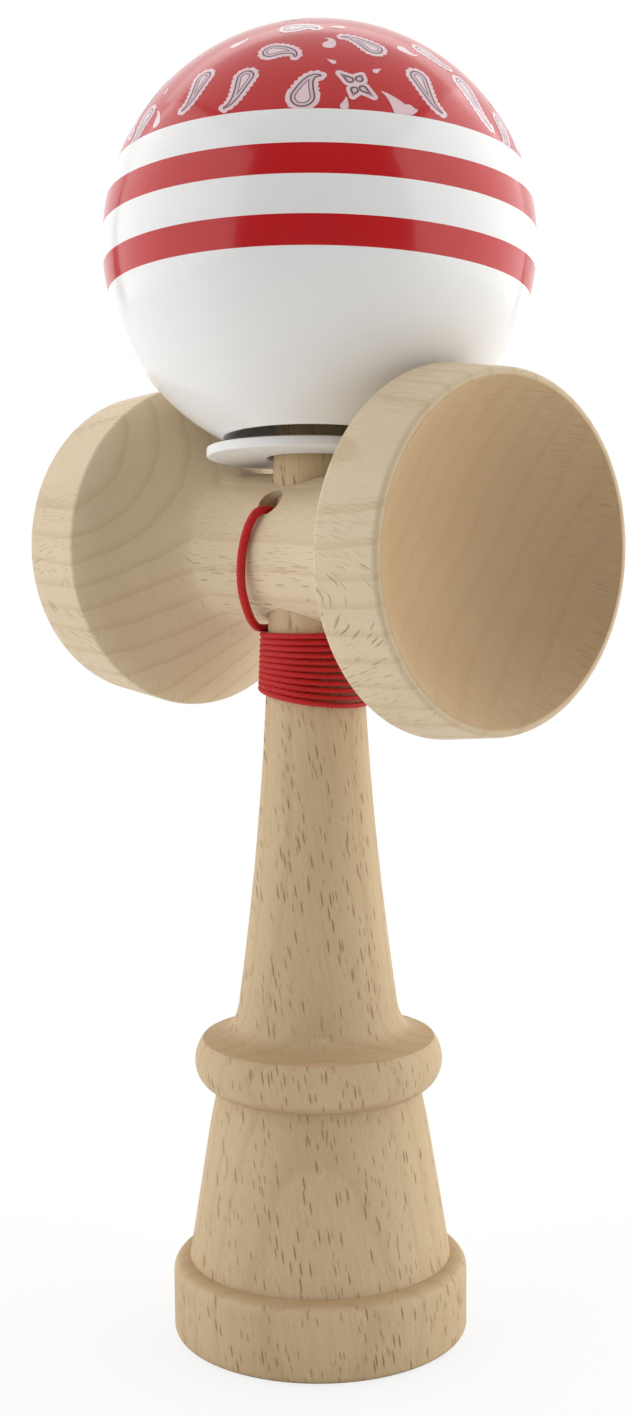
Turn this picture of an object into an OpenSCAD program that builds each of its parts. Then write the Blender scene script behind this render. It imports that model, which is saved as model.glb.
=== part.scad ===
// Kendama: a turned wooden handle with a spike and a base cup, a cross-piece with
// a big and a small cup, a lacquered ball on a string, and a loose spacer washer.
// Millimetres. +Z runs up the handle, the origin is at the centre of the base rim,
// and the cross-piece lies along X with its big cup at +X.

/* [Ball] */
// Diameter of the ball
ball_d = 60; // [58:0.1:62]
// Diameter of the bore that the spike goes into
bore_d = 22; // [19:0.1:24]
// Depth of that bore past the middle of the ball
bore_past_middle = 9; // [7:0.5:11]
// Width of the bevel round the mouth of the bore
bevel_w = 2; // [1:0.1:3]
// Diameter of the string hole at the top
ball_string_hole_d = 2.4; // [2:0.1:3.4]
// Radius that rounds the mouth of the string hole
string_mouth_round = 1.5; // [0.8:0.1:2]
// Lean of the ball on the spike, in degrees
ball_lean = 8.1; // [5:0.1:9]
// Sideways place of the ball's middle along X
ball_x = 0.7; // [0:0.1:1]
// Sideways place of the ball's middle along Y
ball_y = 0.8; // [0:0.1:1]

/* [Bead inside the ball] */
// Diameter of the bead
bead_d = 8.6; // [6:0.1:10]
// Length of the bead
bead_h = 8; // [6:0.1:9]
// Diameter of the bead's hole
bead_hole_d = 1.8; // [1.4:0.1:2.4]
// Radius that rounds the bead's edges
bead_round = 1.4; // [0.6:0.1:2]
// Diameter of the knot under the bead
bead_knot_d = 3.4; // [2.6:0.1:4]

/* [Handle] */
// Diameter of the base band
base_d = 42.7; // [41:0.1:45]
// Height of the crease above the base band
base_h = 11.3; // [9.5:0.1:13]
// Radius that rounds the top of the base band
base_round = 2.2; // [1:0.1:2.3]
// Radius that rounds the foot of the base band
foot_round = 1.2; // [0.6:0.1:1.6]
// Diameter of the base cup's opening
base_cup_d = 36; // [32:0.5:37]
// Depth of the base cup
base_cup_depth = 7.2; // [5:0.1:8]
// Diameter of the waist where it meets the base band
waist_foot_d = 37.9; // [36:0.1:38]
// Diameter of the waist under the collar
waist_top_d = 30.3; // [28:0.1:32]
// Diameter of the collar
collar_d = 36; // [34:0.1:38]
// Height of the middle of the collar
collar_z = 39.8; // [37:0.1:42]
// Radius of the collar's rounded band
collar_round = 6.05; // [5.6:0.05:6.6]
// Diameter of the collar's upper edge
collar_edge_d = 33; // [32.6:0.1:33.6]
// Diameter of the shaft at its foot above the collar
shaft_foot_d = 22.4; // [20:0.1:24]
// Height of the sweep from the collar's edge up to the shaft
shaft_sweep = 6.4; // [5:0.1:8]
// Diameter of the neck where it enters the cross-piece
neck_d = 13.3; // [12.5:0.1:14.5]
// How much the shaft hollows in between its ends
shaft_hollow = 0.73; // [0.2:0.01:1.2]
// Diameter of the spike where it leaves the cross-piece
spike_d = 11.5; // [10:0.1:12]
// Diameter of the spike's rounded tip
spike_tip_d = 8.2; // [7:0.1:9]
// Height of the spike's tip above the middle of the cross-piece
spike_h = 46.4; // [42:0.1:48]
// Diameter of the string hole through the handle
ken_string_hole_d = 2.6; // [2:0.1:3]
// Diameter of the pocket that holds the string's inner knot
knot_pocket_d = 4.6; // [4.2:0.1:5]
// Diameter of that inner knot
anchor_knot_d = 3.6; // [3:0.1:4]

/* [Cross-piece] */
// Height of the cross-piece's axis above the base
sarado_z = 113.6; // [111:0.1:116]
// Diameter of the barrel between the cups
barrel_d = 21.2; // [20:0.1:22]
// Distance from the middle to the big cup's rim
big_rim_x = 37.1; // [36:0.1:39]
// Diameter of the big cup's rim
big_rim_d = 47.4; // [46:0.1:49]
// Width of the big cup's band
big_band_w = 10.4; // [9:0.1:11]
// Diameter of the big cup's back edge
big_back_d = 49.3; // [48:0.1:50]
// Depth of the big cup
big_cup_depth = 11.2; // [8:0.1:12]
// Distance from the middle to where the barrel flares to the big cup
big_flare_x = 12.5; // [11:0.1:13.5]
// Distance from the middle to the small cup's rim
small_rim_x = 37.6; // [36:0.1:39]
// Diameter of the small cup's rim
small_rim_d = 45.2; // [44:0.1:46]
// Width of the small cup's band
small_band_w = 12.6; // [11:0.1:13]
// Diameter of the small cup's back edge
small_back_d = 47.6; // [46:0.1:48]
// Depth of the small cup
small_cup_depth = 9.8; // [8:0.1:11]
// Distance from the middle to where the barrel flares to the small cup
small_flare_x = 14; // [12.5:0.1:14.5]
// Width of the flat lip round each cup
lip_w = 1.2; // [0.8:0.1:2]
// Radius that rounds the edges of the cups' bands
band_round = 0.8; // [0.3:0.1:1]
// How quickly the barrel flares out to the cups, 1 is a straight cone
flare_power = 1.3; // [1:0.05:1.6]
// Diameter of the string hole in the barrel
sarado_string_hole_d = 4.2; // [3.4:0.1:4.6]
// Angle of that hole above level, in degrees
string_hole_angle = 39.5; // [36:0.5:42]
// Clearance round the handle in the cross-piece
taper_clearance = 0.1; // [0.05:0.01:0.2]

/* [Spacer washer] */
// Diameter of the washer
washer_d = 30; // [28:0.1:31]
// Thickness of the washer
washer_t = 1.4; // [1:0.1:2]
// Diameter of the washer's hole
washer_hole_d = 13.2; // [12.6:0.1:15]
// Radius that rounds the washer's edges
washer_round = 0.3; // [0.1:0.05:0.45]
// Lean of the washer, in degrees
washer_lean = 6.2; // [4:0.1:7]

/* [String] */
// Diameter of the string
string_d = 1.25; // [1:0.05:1.3]
// Thickness of the string where it is wound and pulled tight
wound_thick = 1.1; // [0.9:0.05:1.2]
// Turns wound on the neck
wound_turns = 11.2; // [8.2:1:11.2]
// Drop of the winding for each turn
wound_pitch = 0.87; // [0.87:0.01:0.94]
// How much the lowest turn is pulled up on its high side
wound_tilt = 1.4; // [0:0.1:1.4]
// Angle of that high side, in degrees round the neck from +X
wound_tilt_angle = 200; // [180:1:220]
// Diameter of the wound tube, thin enough to leave its turns apart
wound_tube_d = 0.27; // [0.2:0.01:0.27]
// Height of the winding's first turn above the base
wound_top_z = 102.4; // [100:0.1:102.5]
// Angle where the winding starts, in degrees round the neck from +X
wound_start_angle = 215; // [200:1:230]

/* [Assembly] */
// Direction in which the ball and washer lean, in degrees from +X
lean_direction = 130; // [120:1:140]
// Gap between loose pieces and what they rest on
seat_gap = 0.3; // [0.2:0.05:0.5]

/* [Hidden] */
$fn = 96;
ARC_STEPS = 8;

// Points on an arc about [cx, cy] from angle a0 to a1
function arc(cx, cy, r, a0, a1, steps = ARC_STEPS) =
    [for (i = [0:steps]) let (a = a0 + (a1 - a0) * i / steps) [cx + r * cos(a), cy + r * sin(a)]];

// Points on a cubic curve from p0 to p3, without its first point
function sweep(p0, p1, p2, p3, steps = ARC_STEPS) =
    [for (i = [1:steps]) let (t = i / steps, s = 1 - t)
        s * s * s * p0 + 3 * s * s * t * p1 + 3 * s * t * t * p2 + t * t * t * p3];

// Radius of the sphere that cuts a dish of the given mouth radius and depth
function dish_radius(mouth_r, depth) = (mouth_r * mouth_r + depth * depth) / (2 * depth);

// Direction of an axis that leans by an angle towards lean_direction
function leaning(angle) =
    [sin(angle) * cos(lean_direction), sin(angle) * sin(lean_direction), cos(angle)];

// Handle heights and radii
barrel_r = barrel_d / 2;
neck_z = sarado_z - barrel_r;
spike_z = sarado_z + barrel_r;
tip_z = sarado_z + spike_h;
tip_r = spike_tip_d / 2;
neck_r = neck_d / 2;
shaft_r = shaft_foot_d / 2;
collar_edge_r = collar_edge_d / 2;
collar_mid_r = collar_d / 2 - collar_round;
collar_edge_angle = acos((collar_edge_r - collar_mid_r) / collar_round);
collar_edge_z = collar_z + collar_round * sin(collar_edge_angle);
collar_foot_angle = -acos((waist_top_d / 2 - collar_mid_r) / collar_round);
shaft_z = collar_edge_z + shaft_sweep;
SHAFT_STEPS = 16;
COLLAR_STEPS = 16;

// Radius of the shaft at height z, a straight taper hollowed in the middle
function shaft_radius(z) = let (s = (neck_z - z) / (neck_z - shaft_z))
    neck_r + (shaft_r - neck_r) * s - 4 * shaft_hollow * s * (1 - s);

// Where the rounding of a cup's back edge ends, in degrees below the band
BACK_EDGE_ANGLE = -40;

// Radius of the cross-piece at distance x from its middle, up to the cups' back edges
big_back_x = big_rim_x - big_band_w;
small_back_x = small_rim_x - small_band_w;
function flare(x, from_x, to_x, to_r) = barrel_r
    + (to_r - barrel_r) * pow(min(1, max(0, (x - from_x) / (to_x - from_x))), flare_power);
function back_radius(x) = x > 0 ? flare(x, big_flare_x, big_back_x, big_back_d / 2)
    : flare(-x, small_flare_x, small_back_x, small_back_d / 2);

// The washer lies across the two flares: its lowest free height at its own lean
washer_axis = leaning(washer_lean);
washer_slope_x = -washer_axis[0] / washer_axis[2];
washer_slope_y = -washer_axis[1] / washer_axis[2];
washer_r = washer_d / 2;
REST_STEP = 0.5;
washer_rest = max([for (x = [-washer_r:REST_STEP:washer_r])
    back_radius(x) * norm([1, washer_slope_y]) - washer_slope_x * x]);
washer_bottom = [0, 0, sarado_z + washer_rest + seat_gap];
washer_top = washer_bottom + washer_t * washer_axis;

// The ball rests by the lowest point of its bevel's rim on the washer
ball_r = ball_d / 2;
bore_r = bore_d / 2;
rim_r = bore_r + bevel_w;
rim_drop = sqrt(ball_r * ball_r - rim_r * rim_r);
ball_axis = leaning(ball_lean);
axes_dot = ball_axis * washer_axis;
rim_reach = rim_r * sqrt(1 - axes_dot * axes_dot);
ball_z = washer_top[2] + (rim_reach + seat_gap + rim_drop * axes_dot
    - (ball_x - washer_top[0]) * washer_axis[0]
    - (ball_y - washer_top[1]) * washer_axis[1]) / washer_axis[2];
ball_middle = [ball_x, ball_y, ball_z];

// The bead's seat past the end of the bore, along the ball's own axis
BEAD_SIDE_GAP = 0.4;
BEAD_SINK = 1.6;
bead_low = bore_past_middle + BEAD_SINK;
bead_seat_r = bead_d / 2 + BEAD_SIDE_GAP;
bead_seat_top = bead_low + bead_h + seat_gap;
KNOT_GAP = 0.05;

// The anchor knot's pocket in the handle, measured back from the axis
KNOT_POCKET_START = 1.5;
anchor_knot_at = KNOT_POCKET_START + anchor_knot_d / 2 + KNOT_GAP;

echo(ball_middle = ball_middle, ball_axis = ball_axis);
echo(washer_top = washer_top, washer_axis = washer_axis);

// The string's free stretches, as points chosen by hand
loop_route = [
    [0, 1.4, 112.4], [0, -1.4, 114.7], [0, -4.4, 116.9], [0, -6.6, 118.3], [-0.1, -8.4, 119.1],
    [-0.5, -10, 118.9], [-1.1, -10.9, 117.4], [-1.7, -11.3, 115.4], [-2.2, -11.5, 113],
    [-2.7, -11.3, 110.4], [-3.3, -10.6, 108], [-4, -9.3, 105.6], [-4.8, -7.7, 103.7],
    [-5.5, -6, 102.6]
];
riser_route = [
    [-4.6, 6.7, 93.7], [-3.8, 7.9, 94.4], [-3.3, 8.8, 95.8], [-3.1, 9.4, 97.6],
    [-3, 10.2, 100.2], [-3, 11.2, 104], [-3, 11.9, 108.4], [-3.1, 12.2, 113], [-3.3, 12.9, 117.4],
    [-3.7, 15.2, 122], [-4.3, 17.7, 126], [-5, 20.2, 130], [-5.9, 22.9, 134.2], [-6.9, 25.4, 138.6],
    [-8.6, 28.2, 145], [-10.1, 29.6, 152.6], [-10.9, 29, 160.4], [-10.9, 26.5, 168],
    [-10.2, 22.1, 174.8], [-8.5, 16.6, 180.2], [-6.3, 11, 183.8], [-4.9, 7.6, 185.3],
    [-3.6, 6, 185.8], [-2.5, 4.7, 185.5], [-1.9, 4, 184], [-1.6, 3.6, 180.6], [-1.2, 3.1, 176.4],
    [-0.8, 2.6, 171.8], [-0.3, 2, 166.1]
];
LOOP_SIDES = 8;
WOUND_SIDES = 6;
RINGS_PER_TURN = 24;
STRETCH_STEPS = 2;

// Point a share t of the way from p1 to p2 on a smooth curve through p0 to p3
function through(p0, p1, p2, p3, t) = 0.5 * (2 * p1 + t * (p2 - p0)
    + t * t * (2 * p0 - 5 * p1 + 4 * p2 - p3) + t * t * t * (3 * p1 - p0 - 3 * p2 + p3));

// A route's own points with smooth ones between them
function smooth_route(route) = let (last = len(route) - 1) [
    for (i = [0:last - 1], k = [0:STRETCH_STEPS - 1])
        through(route[max(0, i - 1)], route[i], route[i + 1], route[min(last, i + 2)], k / STRETCH_STEPS),
    route[last]
];

function unit(v) = v / norm(v);

// Tube of n sides swept along points, closed by flat ends
module tube(points, r, sides) {
    last = len(points) - 1;
    rings = [for (i = [0:last]) let (
        along = unit(points[min(last, i + 1)] - points[max(0, i - 1)]),
        side = unit(cross(along, abs(along[0]) < 0.9 ? [1, 0, 0] : [0, 0, 1])),
        up = cross(along, side)
    ) for (k = [0:sides - 1]) points[i] + r * (cos(360 * k / sides) * side + sin(360 * k / sides) * up)];
    walls = [for (i = [0:last - 1], k = [0:sides - 1]) let (
        a = i * sides + k,
        b = i * sides + (k + 1) % sides
    ) each [[a, b, a + sides], [b, b + sides, a + sides]]];
    first_end = [for (k = [1:sides - 2]) [0, k + 1, k]];
    last_end = [for (k = [1:sides - 2]) [last * sides, last * sides + k, last * sides + k + 1]];
    polyhedron([for (p = rings) p], concat(walls, first_end, last_end));
}

// The winding goes clockwise down the neck, with a straight end at each side
wound_steps = ceil(wound_turns * RINGS_PER_TURN);
WOUND_LIFT = 0.05;
TILT_GROWTH = 1.5;
function wound_point(turn) = let (
    a = wound_start_angle - 360 * turn,
    pulled = wound_tilt * pow(turn / wound_turns, TILT_GROWTH) * cos(a - wound_tilt_angle),
    z = wound_top_z - turn * wound_pitch + pulled,
    r = shaft_radius(z) + wound_thick / 2 + WOUND_LIFT
) [r * cos(a), r * sin(a), z];
function wound_heading(turn) = let (a = wound_start_angle - 360 * turn) [sin(a), -cos(a), 0];
wound_first = wound_point(0) - wound_tube_d * wound_heading(0);
wound_last = wound_point(wound_turns) + wound_tube_d * wound_heading(wound_turns);
wound_path = [
    wound_first,
    for (i = [0:wound_steps]) wound_point(wound_turns * i / wound_steps),
    wound_last
];

// Least gap between one turn of the winding and the next, measured on its points
wound_gap = min([for (i = [0:wound_steps - RINGS_PER_TURN + 3], k = [-3:3])
    norm(wound_point(wound_turns * i / wound_steps)
        - wound_point(wound_turns * min(wound_steps, i + RINGS_PER_TURN + k) / wound_steps))]) - wound_tube_d;
echo(wound_gap = wound_gap);
echo(wound_first = wound_first, wound_last = wound_last);

// Carries its children from the ball's or washer's own frame into place
module leaned(place, angle) {
    translate(place)
        rotate([0, 0, lean_direction])
            rotate([0, angle, 0])
                rotate([0, 0, -lean_direction])
                    children();
}

// Carries its children onto the string hole's axis, +Z out of the barrel
module on_string_hole() {
    translate([0, 0, sarado_z])
        rotate([90 - string_hole_angle, 0, 0])
            children();
}

// Handle: base cup, base band, waist, collar, shaft, taper and spike in one turning
module ken_turning() {
    outline = concat(
        [[0, 0]],
        arc(base_d / 2 - foot_round, foot_round, foot_round, -90, 0),
        arc(base_d / 2 - base_round, base_h - base_round, base_round, 0, 90),
        [[waist_foot_d / 2, base_h]],
        arc(collar_mid_r, collar_z, collar_round, collar_foot_angle, collar_edge_angle, COLLAR_STEPS),
        sweep(
            [collar_edge_r, collar_edge_z],
            [shaft_r + 0.4 * (collar_edge_r - shaft_r), collar_edge_z + 0.2 * shaft_sweep],
            [shaft_r + 0.12 * (collar_edge_r - shaft_r), collar_edge_z + 0.45 * shaft_sweep],
            [shaft_r, shaft_z]
        ),
        [for (i = [1:SHAFT_STEPS]) let (z = shaft_z + (neck_z - shaft_z) * i / SHAFT_STEPS)
            [shaft_radius(z), z]],
        [[spike_d / 2, spike_z]],
        arc(0, tip_z - tip_r, tip_r, 0, 90)
    );
    rotate_extrude() polygon(outline);
}

module ken() {
    dish_r = dish_radius(base_cup_d / 2, base_cup_depth);
    color("burlywood") difference() {
        ken_turning();
        translate([0, 0, base_cup_depth - dish_r]) sphere(r = dish_r);
        on_string_hole() {
            cylinder(h = neck_d, d = ken_string_hole_d);
            translate([0, 0, -neck_d]) cylinder(h = neck_d - KNOT_POCKET_START, d = knot_pocket_d);
            translate([0, 0, -KNOT_POCKET_START - KNOT_GAP])
                cylinder(h = KNOT_POCKET_START + 2 * KNOT_GAP, d = ken_string_hole_d);
        }
    }
}

// One cup's outline before it is hollowed, round the rim and band to the flare of its back
function cup_outline(rim_x, rim_d, band_w, back_d, flare_x) = let (
    back_x = rim_x - band_w,
    band_angle = atan2(back_d / 2 - rim_d / 2, band_w)
) concat(
    [[0, rim_x]],
    arc(rim_d / 2 - band_round, rim_x - band_round, band_round, 90, band_angle),
    arc(back_d / 2 - band_round, back_x + band_round, band_round, band_angle, BACK_EDGE_ANGLE),
    [for (i = [ARC_STEPS - 1:-1:0]) let (x = flare_x + (back_x - flare_x) * i / ARC_STEPS)
        [flare(x, flare_x, back_x, back_d / 2), x]]
);

// Both cups' outlines and the barrel between them, turned about X
module sarado_turning() {
    big = cup_outline(big_rim_x, big_rim_d, big_band_w, big_back_d, big_flare_x);
    small = cup_outline(small_rim_x, small_rim_d, small_band_w, small_back_d, small_flare_x);
    last = len(small) - 1;
    rotate([0, 90, 0]) rotate_extrude() polygon(concat(
        big,
        [for (i = [last:-1:0]) [small[i][0], -small[i][1]]]
    ));
}

module sarado() {
    big_dish_r = dish_radius(big_rim_d / 2 - lip_w, big_cup_depth);
    small_dish_r = dish_radius(small_rim_d / 2 - lip_w, small_cup_depth);
    color("wheat") difference() {
        translate([0, 0, sarado_z]) sarado_turning();
        translate([big_rim_x - big_cup_depth + big_dish_r, 0, sarado_z]) sphere(r = big_dish_r);
        translate([small_cup_depth - small_rim_x - small_dish_r, 0, sarado_z]) sphere(r = small_dish_r);
        translate([0, 0, neck_z]) cylinder(
            h = spike_z - neck_z,
            r1 = neck_r + taper_clearance,
            r2 = spike_d / 2 + taper_clearance
        );
        on_string_hole() cylinder(h = barrel_d, d = sarado_string_hole_d);
    }
}

// Ball: bevelled bore from below, bead seat and rounded string hole to the top
module tama() {
    hole_r = ball_string_hole_d / 2;
    mouth_r = hole_r + string_mouth_round;
    mouth_z = sqrt(pow(ball_r - string_mouth_round, 2) - mouth_r * mouth_r);
    mouth_angle = atan2(mouth_z, mouth_r);
    mouth = concat(
        [[0, mouth_z], [hole_r, mouth_z]],
        arc(mouth_r, mouth_z, string_mouth_round, 180, mouth_angle),
        [[mouth_r, ball_d], [0, ball_d]]
    );
    bevel_low = -ball_r;
    bevel_low_r = rim_r + ball_r - rim_drop;
    color("white") leaned(ball_middle, ball_lean) difference() {
        sphere(d = ball_d);
        translate([0, 0, bevel_low]) cylinder(h = bevel_low_r - bore_r, r1 = bevel_low_r, r2 = bore_r);
        translate([0, 0, bevel_low]) cylinder(h = bore_past_middle - bevel_low, r = bore_r);
        cylinder(h = bead_seat_top, r = bead_seat_r);
        cylinder(h = ball_r, r = hole_r);
        rotate_extrude() polygon(mouth);
    }
}

module tama_bead() {
    outline = concat(
        arc(bead_d / 2 - bead_round, bead_round, bead_round, -90, 0),
        arc(bead_d / 2 - bead_round, bead_h - bead_round, bead_round, 0, 90),
        [[bead_hole_d / 2, bead_h], [bead_hole_d / 2, 0]]
    );
    color("ivory") leaned(ball_middle, ball_lean)
        translate([0, 0, bead_low]) rotate_extrude() polygon(outline);
}

module bead_knot() {
    color("firebrick") leaned(ball_middle, ball_lean)
        translate([0, 0, bead_low - KNOT_GAP - bead_knot_d / 2]) sphere(d = bead_knot_d);
}

module spacer_washer() {
    outline = concat(
        [[washer_hole_d / 2, 0]],
        arc(washer_r - washer_round, washer_round, washer_round, -90, 0),
        arc(washer_r - washer_round, washer_t - washer_round, washer_round, 0, 90),
        [[washer_hole_d / 2, washer_t]]
    );
    color("whitesmoke") leaned(washer_bottom, washer_lean) rotate_extrude() polygon(outline);
}

module anchor_knot() {
    color("firebrick") on_string_hole() translate([0, 0, -anchor_knot_at]) sphere(d = anchor_knot_d);
}

module string_loop() {
    color("crimson") tube(concat(smooth_route(loop_route), [wound_first]), string_d / 2, LOOP_SIDES);
}

module string_winding() {
    color("crimson") tube(wound_path, wound_tube_d / 2, WOUND_SIDES);
}

module string_riser() {
    color("crimson") tube(concat([wound_last], smooth_route(riser_route)), string_d / 2, LOOP_SIDES);
}

ken();
sarado();
tama();
tama_bead();
bead_knot();
spacer_washer();
anchor_knot();
string_loop();
string_winding();
string_riser();
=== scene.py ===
# %% [markdown]
# # A wooden kendama, dressed for the camera
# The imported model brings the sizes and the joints: a turned handle, a cross-piece with two cups, a ball on
# a string, and a washer. This lesson gives each of them its real surface: beech, gloss lacquer, braided
# string. The cross-piece, the washer and the bead keep their solids. The handle gets a finer collar, and the
# ball, the string and the knots are built again here, because their looks need bands, a print and a wound strand.

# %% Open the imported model
import math
import bmesh
import bpy
import numpy as np
from mathutils import Matrix, Vector


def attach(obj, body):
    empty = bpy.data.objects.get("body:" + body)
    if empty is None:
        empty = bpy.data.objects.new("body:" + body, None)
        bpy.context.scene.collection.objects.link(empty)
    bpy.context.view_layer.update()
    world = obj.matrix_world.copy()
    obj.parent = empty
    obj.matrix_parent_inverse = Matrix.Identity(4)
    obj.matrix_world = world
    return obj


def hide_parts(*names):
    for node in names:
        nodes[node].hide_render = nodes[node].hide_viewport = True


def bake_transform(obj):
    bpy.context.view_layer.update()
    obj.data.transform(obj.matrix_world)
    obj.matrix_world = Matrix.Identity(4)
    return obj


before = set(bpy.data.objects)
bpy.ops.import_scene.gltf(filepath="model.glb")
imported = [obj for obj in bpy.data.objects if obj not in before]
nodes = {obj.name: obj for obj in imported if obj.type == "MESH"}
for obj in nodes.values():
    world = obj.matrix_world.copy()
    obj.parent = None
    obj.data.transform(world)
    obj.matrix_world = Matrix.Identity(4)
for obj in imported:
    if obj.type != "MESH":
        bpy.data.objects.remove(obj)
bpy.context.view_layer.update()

MM = 0.001
print("nodes:", ", ".join(sorted(nodes)))

# %% [markdown]
# ## Camera
# The picture is tall and narrow, taken from a little above the cross-piece with a short telephoto lens. A
# camera can be aimed by eye, but here its place and axes come from fitting the ball, both cups and the base
# to their outlines at once, so they are written down as three unit axes and a point.

# %% Camera
camera_data = bpy.data.cameras.new("camera")
camera_data.sensor_width = 36
camera_data.lens = 52.37
camera_data.shift_x, camera_data.shift_y = -0.0011, 0.0048
camera_data.clip_start, camera_data.clip_end = 0.01, 20
camera = bpy.data.objects.new("camera", camera_data)
bpy.context.scene.collection.objects.link(camera)
RIGHT = Vector((0.66973, 0.74256, -0.00814))
UP = Vector((-0.07612, 0.07955, 0.99392))
FORWARD = Vector((-0.73870, 0.66504, -0.10980))
EYE = Vector((216.631, -194.503, 122.224)) * MM
axes = Matrix((RIGHT, UP, -FORWARD)).transposed().to_4x4()
camera.matrix_world = Matrix.Translation(EYE) @ axes
bpy.context.scene.camera = camera
print("camera stands", round(EYE.length, 3), "m from the foot")

# %% [markdown]
# ## The string's route
# One braided string runs from a knot inside the handle, out of the hole in the cross-piece, down to the neck,
# eleven times round it, and up behind the ball into the hole in its top. A curve object with a round bevel
# could carry it, but the wound turns are pressed flat against each other, so the strand is a mesh tube whose
# section changes on the way. First comes its middle line. The points are the ones that the solids follow.

# %% Middle line of the string
LOOP = np.array([
    (0, 1.4, 112.4), (0, -1.4, 114.7), (0, -4.4, 116.9), (0, -6.6, 118.3), (-0.1, -8.4, 119.1),
    (-0.5, -10, 118.9), (-1.1, -10.9, 117.4), (-1.7, -11.3, 115.4), (-2.2, -11.5, 113), (-2.7, -11.3, 110.4),
    (-3.3, -10.6, 108), (-4, -9.3, 105.6), (-4.8, -7.7, 103.7), (-5.5, -6, 102.6)]) * MM
RISER = np.array([
    (-4.6, 6.7, 93.7), (-3.8, 7.9, 94.4), (-3.3, 8.8, 95.8), (-3.1, 9.4, 97.6), (-3, 10.2, 100.2),
    (-3, 11.2, 104), (-3, 11.9, 108.4), (-3.1, 12.2, 113), (-3.3, 12.9, 117.4), (-3.7, 15.2, 122),
    (-4.3, 17.7, 126), (-5, 20.2, 130), (-5.9, 22.9, 134.2), (-6.9, 25.4, 138.6), (-8.6, 28.2, 145),
    (-10.1, 29.6, 152.6), (-10.9, 29, 160.4), (-10.9, 26.5, 168), (-10.2, 22.1, 174.8), (-8.5, 16.6, 180.2),
    (-6.3, 11, 183.8), (-4.9, 7.6, 185.3), (-3.6, 6, 185.8), (-2.5, 4.7, 185.5), (-1.9, 4, 184),
    (-1.6, 3.6, 180.6), (-1.2, 3.1, 176.4), (-0.8, 2.6, 171.8), (-0.3, 2, 166.1)]) * MM
TURNS, PITCH, TOP_Z, START = 11.2, 0.87 * MM, 102.4 * MM, math.radians(215)
PULL, PULL_SIDE = 1.4 * MM, math.radians(200)
CROSS_Z = 113.6 * MM


def handle_radius(z):
    """Radius of the hollow-curved shaft under the cross-piece."""
    s = (103.0 * MM - z) / (52.813 * MM)
    return (6.65 + 4.55 * s - 4 * 0.73 * s * (1 - s)) * MM


def wound_height(turn):
    """Height of the winding, whose last turns are pulled up on one side."""
    angle = START - math.tau * turn
    return TOP_Z - PITCH * turn + PULL * (max(turn, 0) / TURNS) ** 1.5 * math.cos(angle - PULL_SIDE)


def wound_point(turn):
    angle, z = START - math.tau * turn, wound_height(turn)
    r = handle_radius(z) + 0.6 * MM
    return (r * math.cos(angle), r * math.sin(angle), z)


def smooth(points, steps):
    """Round curve through the points, with that many steps from each point to the next."""
    p = np.vstack([2 * points[0] - points[1], points, 2 * points[-1] - points[-2]])
    t = (np.arange(steps) / steps)[:, None]
    rows = []
    for a, b, c, d in zip(p, p[1:], p[2:], p[3:]):
        rows.append(0.5 * (2 * b + (c - a) * t + (2 * a - 5 * b + 4 * c - d) * t**2 + (3 * b - a - 3 * c + d) * t**3))
    return np.vstack(rows + [points[-1:]])


wound_turns = np.arange(0, TURNS + 1e-6, 1 / 24)
winding = np.array([wound_point(t) for t in wound_turns])
middle = smooth(np.vstack([LOOP, winding, RISER]), 4)
string_length = float(np.linalg.norm(np.diff(middle, axis=0), axis=1).sum())
print("string length", round(string_length, 4), "m in", len(middle), "rings")

# %% [markdown]
# ## The strand
# A tube needs a frame at each ring. Parallel transport carries one frame along the line without twisting it,
# so the braid doesn't spin at the bends. On the neck the round section is pressed into an oval that fills the
# space between its two neighbours. The tube's UV map holds millimetres along the strand and turns round it.

# %% Tube along a line
def frames_along(line):
    """Unit tangents and one untwisted pair of side axes for each point of a line."""
    tangent = np.gradient(line, axis=0)
    tangent /= np.linalg.norm(tangent, axis=1)[:, None]
    side = np.cross(tangent[0], (0.31, 0.85, 0.42))
    sides = []
    for t in tangent:
        side = side - t * (side @ t)
        side = side / np.linalg.norm(side)
        sides.append(side)
    sides = np.array(sides)
    return tangent, sides, np.cross(tangent, sides)


def tube(name, line, rings, closed=False):
    """Mesh tube from ready rings of points, with capped ends or joined to itself, and a UV map."""
    count, around = len(rings), len(rings[0])
    verts = [tuple(p) for ring in rings for p in ring]
    run = np.concatenate([[0], np.cumsum(np.linalg.norm(np.diff(line, axis=0), axis=1))]) / MM
    faces, uvs = [], []
    for i in range(count if closed else count - 1):
        j = (i + 1) % count
        u0, u1 = run[i], run[i + 1] if i + 1 < count else run[i] + run[1]
        for k in range(around):
            m = (k + 1) % around
            faces.append((i * around + k, i * around + m, j * around + m, j * around + k))
            uvs += [(u0, k / around), (u0, (k + 1) / around), (u1, (k + 1) / around), (u1, k / around)]
    if not closed:
        faces += [tuple(range(around - 1, -1, -1)), tuple((count - 1) * around + k for k in range(around))]
        uvs += [(0, k / around) for k in range(around - 1, -1, -1)] + [(run[-1], k / around) for k in range(around)]
    mesh = bpy.data.meshes.new(name)
    mesh.from_pydata(verts, [], faces)
    layer = mesh.uv_layers.new(name="strand")
    layer.data.foreach_set("uv", np.array(uvs, np.float32).ravel())
    mesh.shade_smooth()
    piece = bpy.data.objects.new(name, mesh)
    bpy.context.scene.collection.objects.link(piece)
    return piece


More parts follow.
